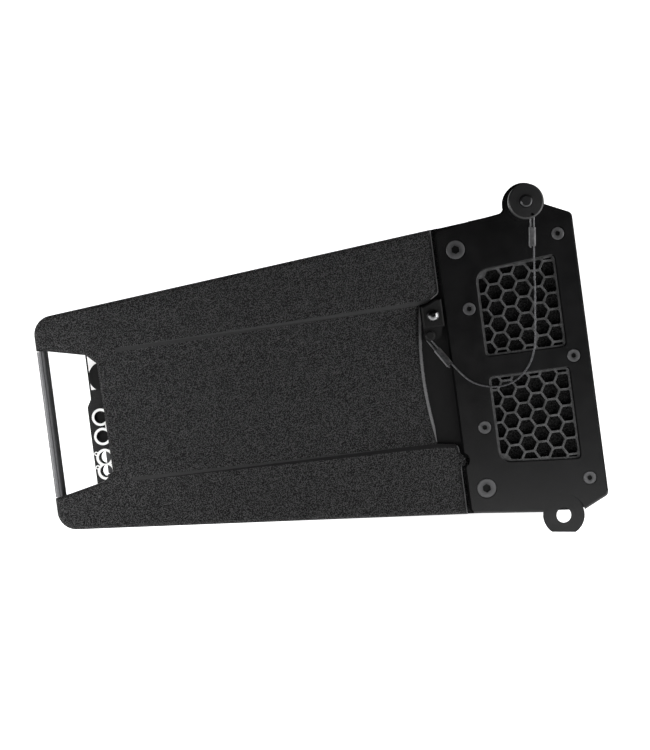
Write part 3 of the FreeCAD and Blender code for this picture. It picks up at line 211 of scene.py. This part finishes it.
# ---------------------------------------------------------------- materials
def grained_moulding():
    """Moulded cabinet with a pebble grain, smooth on the ridges and in the recess behind the plates. Light and
    shade are painted: the grain darker in its hollows and lighter on its tops, the ridges a little lighter, the
    recess darker and a highlight on the front edge bevel.
    """
    s = Shade("grained_moulding", (0.012, 0.012, 0.0125), 0.5, specular=0.3)
    turned = s.nodes.new("ShaderNodeMapping")
    turned.inputs["Rotation"].default_value = (0.6, 0.45, 0.3)
    s.link(s.where, turned.inputs["Vector"])
    pebbles = s.noise(1500, 0.8, 0.5, where=turned.outputs["Vector"])
    coarse = s.noise(300, 2.0)
    behind = s.math("ADD", s.along(-FORWARD), PIN_BEHIND)
    above = s.math("ABSOLUTE", s.math("ADD", s.along(UP), PIN_ABOVE))
    out = s.math("ABSOLUTE", s.along(ACROSS, 0.0))
    ridge = s.math("MULTIPLY_ADD", behind, -RIDGE_SLOPE, RIDGE_START)
    off_ridge = s.math("ABSOLUTE", s.math("SUBTRACT", above, ridge))
    on_ridge = s.both(s.less(off_ridge, RIDGE_HALF), s.less(behind, RIDGE_REAR),
                      s.more(behind, RIDGE_FRONT), s.less(out, RIDGE_OUT))
    in_recess = s.both(s.less(out, RECESS_OUT[1]), s.more(out, RECESS_OUT[0]),
                       s.less(behind, RECESS_REAR), s.less(above, RECESS_HALF))
    bevel_foot = s.math("MULTIPLY_ADD", s.more(above, BAND_FROM), BAND_RISE, BEVEL_FOOT)
    front_edge_highlight = s.both(s.more(s.facing(FORWARD), 0.3), s.more(behind, EDGE_FROM), s.less(out, bevel_foot))
    front_edge_highlight = s.both(front_edge_highlight, s.more(out, s.math("SUBTRACT", bevel_foot, EDGE_WIDTH)))
    # the ridges are smooth and a little lighter than the grain around them, a painted highlight
    grain = s.mix(on_ridge, s.ramp(pebbles, [(0.44, 0.0), (0.64, 1.0)]), (0.42, 0.42, 0.42))
    # the recess behind the plates is smooth and painted darker, as shade
    grain = s.mix(in_recess, grain, (0.12, 0.12, 0.12))
    # the grain's hollows are painted darker as shade and its tops lighter as a painted highlight
    shade = s.mix(grain, (0.0028, 0.0028, 0.0029), (0.026, 0.026, 0.0265))
    # the front edge bevel is painted light, a painted highlight
    s.colour(s.mix(front_edge_highlight, shade, (0.14, 0.14, 0.142)))
    # the grain's hollows also reflect less, as painted shade
    s.link(s.ramp(grain, [(0.0, 0.06), (1.0, 0.30)]), s.shader.inputs["Specular IOR Level"])
    s.roughness(s.ramp(coarse, [(0.3, 0.46), (0.7, 0.58)]))
    s.bump(grain, 0.0005, 1.0)
    s.bump(coarse, 0.0002, 0.4)
    return s.mat


def smooth_black():
    """Smooth moulded plastic."""
    s = Shade("smooth_black", (0.0045, 0.0045, 0.0047), 0.42, specular=0.28)
    s.colour(s.ramp(s.noise(30, 4.0), [(0.3, (0.0035, 0.0035, 0.0036)), (0.7, (0.0055, 0.0055, 0.0057))]))
    s.roughness(s.ramp(s.noise(40, 4.0), [(0.3, 0.34), (0.7, 0.46)]))
    s.bump(s.noise(2600, 2.0), 0.00005, 0.5)
    return s.mat


def powder_coat():
    """Satin black powder coat on steel, with a faint orange peel, a painted highlight on faces that look forward
    round the windows, and no specular on faces that look to the rear, as painted shade.
    """
    s = Shade("powder_coat", (0.004, 0.004, 0.0042), 0.22, specular=0.30)
    coat = s.ramp(s.noise(14, 4.0), [(0.3, (0.0022, 0.0022, 0.0023)), (0.7, (0.0040, 0.0040, 0.0042))])
    # faces that look to the rear lose their specular reflection, as painted shade
    s.link(s.ramp(s.facing(-FORWARD), [(0.2, 0.25), (0.4, 0.0)]), s.shader.inputs["Specular IOR Level"])
    behind = s.math("ADD", s.along(-FORWARD), PIN_BEHIND)
    ahead = s.facing(FORWARD)
    # faces that look forward, behind the front rim, are painted lighter as a highlight
    forward_face_highlight = s.both(s.more(ahead, 0.4), s.less(ahead, 0.9), s.more(behind, FRONT_RIM))
    s.colour(s.mix(forward_face_highlight, coat, (0.018, 0.018, 0.0183)))
    s.roughness(s.ramp(s.noise(90, 5.0), [(0.3, 0.18), (0.7, 0.26)]))
    s.bump(s.noise(900, 2.0), 0.00001, 0.5)
    return s.mat


def black_with_painted_shade():
    """Matt black finish of pieces that sit deep in the recesses, darker and less shiny than the other blacks as
    painted shade.
    """
    s = Shade("black_with_painted_shade", (0.003, 0.003, 0.003), 0.6, specular=0.12)
    s.colour(s.ramp(s.noise(60, 4.0), [(0.3, (0.0020, 0.0020, 0.0020)), (0.7, (0.0040, 0.0040, 0.0041))]))
    s.bump(s.noise(1500, 3.0), 0.00005, 0.6)
    return s.mat


def comb_plastic():
    """Semi-gloss plastic of the honeycombs, lighter where it is worn."""
    s = Shade("comb_plastic", (0.02, 0.02, 0.02), 0.38, specular=0.5)
    s.colour(s.ramp(s.noise(260, 4.0), [(0.35, (0.012, 0.012, 0.012)), (0.65, (0.040, 0.040, 0.041))]))
    s.bump(s.noise(1300, 3.0), 0.00005, 0.6)
    return s.mat


def dark_chrome():
    """Polished dark metal of the domed anchor screws."""
    s = Shade("dark_chrome", (0.13, 0.13, 0.135), 0.14, metal=1.0)
    s.roughness(s.ramp(s.noise(500, 4.0), [(0.3, 0.10), (0.7, 0.20)]))
    s.colour(s.ramp(s.noise(240, 4.0), [(0.3, (0.11, 0.11, 0.112)), (0.7, (0.16, 0.16, 0.163))]))
    return s.mat


def open_foam():
    """Open-celled black foam behind the honeycombs and the grille."""
    s = Shade("open_foam", (0.006, 0.006, 0.006), 0.95, specular=0.2)
    holes = s.cells(620, smooth=False)
    s.colour(s.ramp(holes, [(0.15, (0.0015, 0.0015, 0.0015)), (0.7, (0.012, 0.012, 0.012))]))
    s.bump(holes, 0.0012, 1.0)
    return s.mat


def black_oxide():
    """Blackened steel screws, lighter on their edges, partly bare metal and partly a painted highlight, and darker
    in their hollows as painted shade.
    """
    s = Shade("black_oxide", (0.02, 0.02, 0.021), 0.34, metal=0.75, specular=0.5)
    bend = s.nodes.new("ShaderNodeNewGeometry").outputs["Pointiness"]
    # hollows painted darker as shade; convex edges lighter, partly bare metal and partly a painted highlight
    shades = [(0.44, (0.003, 0.003, 0.003)), (0.50, (0.021, 0.021, 0.022)), (0.56, (0.08, 0.08, 0.082))]
    s.colour(s.ramp(bend, shades))
    s.roughness(s.ramp(s.noise(420, 4.0), [(0.3, 0.28), (0.7, 0.46)]))
    s.bump(s.noise(1800, 2.0), 0.00005, 0.5)
    return s.mat


def grey_plastic():
    """Dark grey handle plastic with a fine matt grain."""
    s = Shade("grey_plastic", (0.04, 0.04, 0.043), 0.5, specular=0.45)
    s.colour(s.ramp(s.noise(700, 2.0), [(0.3, (0.032, 0.032, 0.034)), (0.7, (0.046, 0.046, 0.049))]))
    s.bump(s.noise(1600, 3.0), 0.00012, 0.6)
    return s.mat


def white_print():
    """White paint of the hole rings and label patches, a little uneven."""
    s = Shade("white_print", (0.86, 0.86, 0.85), 0.5, specular=0.4)
    s.colour(s.ramp(s.noise(160, 5.0), [(0.2, (0.76, 0.76, 0.75)), (0.6, (0.88, 0.88, 0.87))]))
    s.bump(s.noise(2000, 2.0), 0.00003, 0.4)
    return s.mat


def cast_metal():
    """Cast frames of the drivers."""
    s = Shade("cast_metal", (0.05, 0.05, 0.053), 0.5, metal=0.6)
    s.roughness(s.ramp(s.noise(200, 5.0), [(0.3, 0.42), (0.7, 0.62)]))
    s.bump(s.noise(900, 4.0), 0.00015, 0.7)
    return s.mat


def magnet_grey():
    """Ferrite rings, mottled grey."""
    s = Shade("magnet_grey", (0.06, 0.06, 0.062), 0.45, metal=0.5)
    s.colour(s.ramp(s.noise(120, 5.0), [(0.3, (0.04, 0.04, 0.042)), (0.7, (0.09, 0.09, 0.092))]))
    s.bump(s.noise(1100, 3.0), 0.0001, 0.6)
    return s.mat


def soft_rubber():
    """Matt rubber of the gaskets and surrounds."""
    s = Shade("soft_rubber", (0.012, 0.012, 0.012), 0.7, specular=0.35)
    s.roughness(s.ramp(s.noise(160, 4.0), [(0.3, 0.62), (0.7, 0.8)]))
    s.bump(s.noise(900, 3.0), 0.0001, 0.5)
    return s.mat


def anodised_black():
    """Black anodised aluminium, brushed upwards."""
    s = Shade("anodised_black", (0.018, 0.018, 0.019), 0.4, metal=0.7)
    stretched = s.nodes.new("ShaderNodeMapping")
    stretched.inputs["Scale"].default_value = (1, 1, 30)
    s.link(s.where, stretched.inputs["Vector"])
    brushed = s.noise(120, 3.0, where=stretched.outputs["Vector"])
    s.roughness(s.ramp(brushed, [(0.3, 0.32), (0.7, 0.5)]))
    s.bump(brushed, 0.00004, 0.5)
    return s.mat


def plated_steel():
    """Bright zinc or nickel plating with fine scuffs."""
    s = Shade("plated_steel", (0.55, 0.55, 0.56), 0.28, metal=1.0)
    s.colour(s.ramp(s.noise(300, 5.0), [(0.3, (0.44, 0.44, 0.45)), (0.7, (0.62, 0.62, 0.63))]))
    s.roughness(s.ramp(s.noise(700, 5.0), [(0.3, 0.2), (0.7, 0.4)]))
    s.bump(s.noise(2400, 3.0), 0.00004, 0.5)
    return s.mat


def crimp_metal():
    """Dull crimped sleeve."""
    s = Shade("crimp_metal", (0.05, 0.05, 0.052), 0.42, metal=0.9)
    s.colour(s.ramp(s.noise(500, 5.0), [(0.3, (0.035, 0.035, 0.036)), (0.7, (0.08, 0.08, 0.082))]))
    s.bump(s.noise(1800, 3.0), 0.0001, 0.7)
    return s.mat


def wire_strand():
    """Thin steel wires of the lanyards."""
    s = Shade("wire_strand", (0.05, 0.05, 0.052), 0.35, metal=0.85)
    s.colour(s.ramp(s.noise(900, 3.0), [(0.3, (0.03, 0.03, 0.032)), (0.7, (0.09, 0.09, 0.094))]))
    s.roughness(s.ramp(s.noise(600, 3.0), [(0.3, 0.3), (0.7, 0.45)]))
    return s.mat


def button_metal():
    """Dark metal of the release buttons, paler on its edges as a painted highlight and darker in its hollows as
    painted shade.
    """
    s = Shade("button_metal", (0.035, 0.035, 0.037), 0.3, metal=0.8)
    s.colour(s.mix(s.edges(0.52, 0.64), (0.02, 0.02, 0.021), (0.07, 0.07, 0.072)))
    s.bump(s.noise(1500, 3.0), 0.00004, 0.5)
    return s.mat


def circuit_board():
    """Green board with specks of solder."""
    s = Shade("circuit_board", (0.01, 0.07, 0.03), 0.4)
    s.colour(s.ramp(s.cells(260, smooth=False), [(0.1, (0.2, 0.16, 0.05)), (0.25, (0.008, 0.06, 0.025))]))
    s.bump(s.noise(400, 3.0), 0.0001, 0.4)
    return s.mat


def board_parts():
    """Dark casings of the parts on the boards."""
    s = Shade("board_part_casing", (0.02, 0.02, 0.03), 0.4)
    s.colour(s.ramp(s.noise(30, 2.0), [(0.4, (0.015, 0.015, 0.02)), (0.6, (0.05, 0.05, 0.06))]))
    s.bump(s.noise(900, 2.0), 0.00005, 0.4)
    return s.mat


def pulp_cone():
    """Pressed paper pulp of the woofer cones."""
    s = Shade("pulp_cone", (0.015, 0.015, 0.015), 0.8, specular=0.3)
    s.colour(s.ramp(s.noise(320, 6.0), [(0.3, (0.010, 0.010, 0.010)), (0.7, (0.024, 0.024, 0.023))]))
    s.bump(s.noise(500, 6.0), 0.0002, 0.7)
    return s.mat


def tinted_window():
    """Smoked window over the display."""
    s = Shade("tinted_window", (0.004, 0.005, 0.007), 0.08, specular=0.6, coat=0.5)
    s.roughness(s.ramp(s.noise(60, 4.0), [(0.3, 0.05), (0.7, 0.13)]))
    return s.mat


def lamp_lens():
    """Pale lenses of the status lamps."""
    s = Shade("lamp_lens", (0.35, 0.42, 0.36), 0.2, coat=0.6)
    s.colour(s.ramp(s.noise(500, 2.0), [(0.3, (0.28, 0.36, 0.29)), (0.7, (0.42, 0.5, 0.43))]))
    s.bump(s.cells(1500), 0.0001, 0.4)
    return s.mat


LOOKS = {
    "cabinet": grained_moulding(), "black_steel": powder_coat(), "black_plastic": smooth_black(),
    "foam": open_foam(), "dark_bolts": black_oxide(), "grey_plastic": grey_plastic(),
    "white_print": white_print(), "cast_frame": cast_metal(), "ferrite": magnet_grey(),
    "rubber": soft_rubber(),
    "black_aluminium": anodised_black(), "zinc_steel": plated_steel(), "board": circuit_board(),
    "board_parts": board_parts(), "steel": plated_steel(), "button_metal": button_metal(),
    "wire_rope": wire_strand(), "paper_cone": pulp_cone(), "window": tinted_window(), "lamp": lamp_lens(),
}
SPECIAL = {
    "honeycombs": comb_plastic(), "anchor_blocks": black_with_painted_shade(), "anchor_screws": dark_chrome(),
    "lower_ferrules": crimp_metal(),
}
# the link bar and the rear pin knob, deep inside the hand opening, take the anchor blocks' darker black: the
# anchor blocks are black, and the extra darkness on all three is painted shade
SPECIAL.update(link_bar=SPECIAL["anchor_blocks"], rear_pin_knob=SPECIAL["anchor_blocks"],
               upper_ferrule_left=SPECIAL["lower_ferrules"], upper_ferrule_right=SPECIAL["lower_ferrules"])
for part in frame["record"]["subparts"]:
    node = NODES[part["node"]]
    look = SPECIAL.get(part["node"], LOOKS[part["material_slot"]])
    for material_slot in node.material_slots:
        material_slot.material = look


# ---------------------------------------------------------------- lanyards
# centre line of the left cable: mm behind the front, above the horn axis and to the left
ROUTE = [
    (107.9, 24.5, 234.0), (91.2, -2.2, 238.4), (79.5, -12.0, 238.8), (63.0, -15.2, 239.2),
    (50.6, -10.8, 239.8), (41.2, -0.6, 240.8), (36.8, 12.4, 242.0), (35.2, 29.0, 243.6),
    (32.9, 46.0, 245.4), (31.6, 64.0, 247.6), (28.9, 87.6, 250.8),
]
CABLE_D = 1.3 * MM


def route_line(points):
    """The smooth line of a cord's route, as points."""
    curve = bpy.data.curves.new("route", "CURVE")
    curve.dimensions = "3D"
    spline = curve.splines.new("NURBS")
    spline.points.add(len(points) - 1)
    for control, place in zip(spline.points, points):
        control.co = (*place, 1)
    spline.order_u = 3
    spline.use_endpoint_u = True
    spline.resolution_u = 16
    holder = bpy.data.objects.new("route", curve)
    mesh = bpy.data.meshes.new_from_object(holder)
    line = [v.co.copy() for v in mesh.vertices]
    bpy.data.objects.remove(holder)
    return line


def frames_along(line):
    """Each point with two directions square to the line, carried along without twist."""
    last = len(line) - 1
    tangents = [(line[min(k + 1, last)] - line[max(k - 1, 0)]).normalized() for k in range(len(line))]
    side = tangents[0].orthogonal().normalized()
    rows = []
    for point, tangent in zip(line, tangents):
        side = (side - tangent * side.dot(tangent)).normalized()
        rows.append((point, side, tangent.cross(side)))
    return rows


def wire_rope(name, line, diameter, strands=6, lay_length=0.009, around=8):
    """A twisted wire rope: outer strands laid round a core, as one closed mesh."""
    strand_r = diameter / 2 * 0.36
    lay_r = diameter / 2 - strand_r
    rows = frames_along(line)
    verts, faces = [], []
    length = [0.0]
    for a, b in zip(line, line[1:]):
        length.append(length[-1] + (b - a).length)
    for strand in range(-1, strands):
        first = len(verts)
        radius = strand_r if strand >= 0 else lay_r
        for (point, side, other), run in zip(rows, length):
            turn = 2 * math.pi * (strand / strands + run / lay_length)
            laid_out = (side * math.cos(turn) + other * math.sin(turn)) * lay_r
            middle = point if strand < 0 else point + laid_out
            for k in range(around):
                a = 2 * math.pi * k / around
                verts.append(middle + (side * math.cos(a) + other * math.sin(a)) * radius)
        for j in range(len(rows) - 1):
            for k in range(around):
                p, q = first + j * around, first + (j + 1) * around
                faces.append((p + k, p + (k + 1) % around, q + (k + 1) % around, q + k))
        faces.append(tuple(first + k for k in reversed(range(around))))
        end = first + (len(rows) - 1) * around
        faces.append(tuple(end + k for k in range(around)))
    mesh = bpy.data.meshes.new(name)
    mesh.from_pydata([tuple(v) for v in verts], [], faces)
    for polygon in mesh.polygons:
        polygon.use_smooth = len(polygon.vertices) == 4
    mesh.materials.append(LOOKS["wire_rope"])
    rope = bpy.data.objects.new(name, mesh)
    bpy.context.scene.collection.objects.link(rope)
    return rope


def finer(line, step):
    """The same line with points no further apart than step, for the strands' twist."""
    points = [line[0]]
    for a, b in zip(line, line[1:]):
        count = max(1, math.ceil((b - a).length / step))
        points += [a.lerp(b, k / count) for k in range(1, count + 1)]
    return points


def lanyard(side, sign):
    points = [at(f, z, sign * y) for f, z, y in ROUTE]
    line = route_line(points)
    rope = wire_rope("lanyard_" + side, finer(line, 0.5 * MM), CABLE_D)
    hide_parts("lanyard_cable_" + side)
    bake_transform(rope)


lanyard("left", 1)
lanyard("right", -1)


# ---------------------------------------------------------------- studio
def area_light(name, place, target, size, power):
    data = bpy.data.lights.new(name, "AREA")
    data.shape = "RECTANGLE"
    data.size, data.size_y = size
    data.energy = power
    light = bpy.data.objects.new(name, data)
    light.location = place
    light.visible_camera = False
    light.rotation_euler = (Vector(target) - Vector(place)).to_track_quat("-Z", "Y").to_euler()
    bpy.context.scene.collection.objects.link(light)


def studio():
    """A pale floor that sweeps up behind the speaker and glows as painted light: brightest in a strip just in
    front of the speaker's near side, dimmer beneath and behind it, and dimmest near the camera.
    """
    back, near, wide, rise, bend = 2.6, -4.5, 6.0, 5.0, 1.2
    profile = [(near, 0.0), (back - bend, 0.0)]
    for k in range(1, 13):
        a = math.radians(90 * k / 12)
        profile.append((back - bend + bend * math.sin(a), bend - bend * math.cos(a)))
    profile.append((back, rise))
    verts, faces = [], []
    for y, z in profile:
        verts += [(-wide, y, z), (wide, y, z)]
    for k in range(len(profile) - 1):
        faces.append((2 * k, 2 * k + 1, 2 * k + 3, 2 * k + 2))
    mesh = bpy.data.meshes.new("sweep")
    mesh.from_pydata(verts, [], faces)
    for polygon in mesh.polygons:
        polygon.use_smooth = True
    s = Shade("studio_white", (0.9, 0.9, 0.9), 0.9, specular=0.1)
    s.shader.inputs["Emission Color"].default_value = (1, 1, 1, 1)
    far = s.math("MULTIPLY", s.along(ACROSS, 0.0), MM)
    # the floor's glow is painted light, uneven across the floor
    glow = s.ramp(s.math("MULTIPLY_ADD", far, 0.25, 1.0),
                  [(0.55, 0.15), (0.65, 0.6), (0.84, 0.6), (0.90, 1.0), (0.96, 1.0), (0.99, 0.6)])
    s.link(s.math("MULTIPLY", glow, 1.7), s.shader.inputs["Emission Strength"])
    s.bump(s.noise(30, 3.0), 0.0002, 0.2)
    mesh.materials.append(s.mat)
    floor = bpy.data.objects.new("sweep", mesh)
    bpy.context.scene.collection.objects.link(floor)
    world = bpy.data.worlds.new("soft_light")
    world.use_nodes = True
    world.node_tree.nodes["Background"].inputs["Color"].default_value = (1, 1, 1, 1)
    world.node_tree.nodes["Background"].inputs["Strength"].default_value = 0.01
    bpy.context.scene.world = world
    area_light("right_box", (0.37, -0.37, 0.20), (0, -0.37, 0.17), (0.24, 0.30), 1.5)
    area_light("left_box", (-0.34, -0.40, 0.06), (-0.15, -0.235, 0.05), (0.16, 0.12), 1.2)
    area_light("top_box", (0.0, 0.5, 1.7), (0, 0.1, 0.14), (1.8, 0.8), 5)


studio()

# ---------------------------------------------------------------- camera, square to the right-hand side
CAMERA_AWAY = 1.80           # from the near side, m
FOCAL = 126.0                # mm
ROLL = -0.295                # degrees
AIM = (182.4, 8.97, -235.0)  # mm behind the front, above the horn axis, to the left
aim = at(*AIM)
camera_data = bpy.data.cameras.new("camera")
camera_data.lens = FOCAL
camera_data.sensor_fit = "AUTO"
camera_data.sensor_width = 36.0
camera = bpy.data.objects.new("camera", camera_data)
camera.location = (aim.x, aim.y - CAMERA_AWAY, aim.z)
camera.rotation_euler = (math.radians(90), math.radians(ROLL), 0)
bpy.context.scene.collection.objects.link(camera)
bpy.context.scene.camera = camera
bpy.context.scene.view_settings.view_transform = "Standard"

bpy.context.view_layer.update()
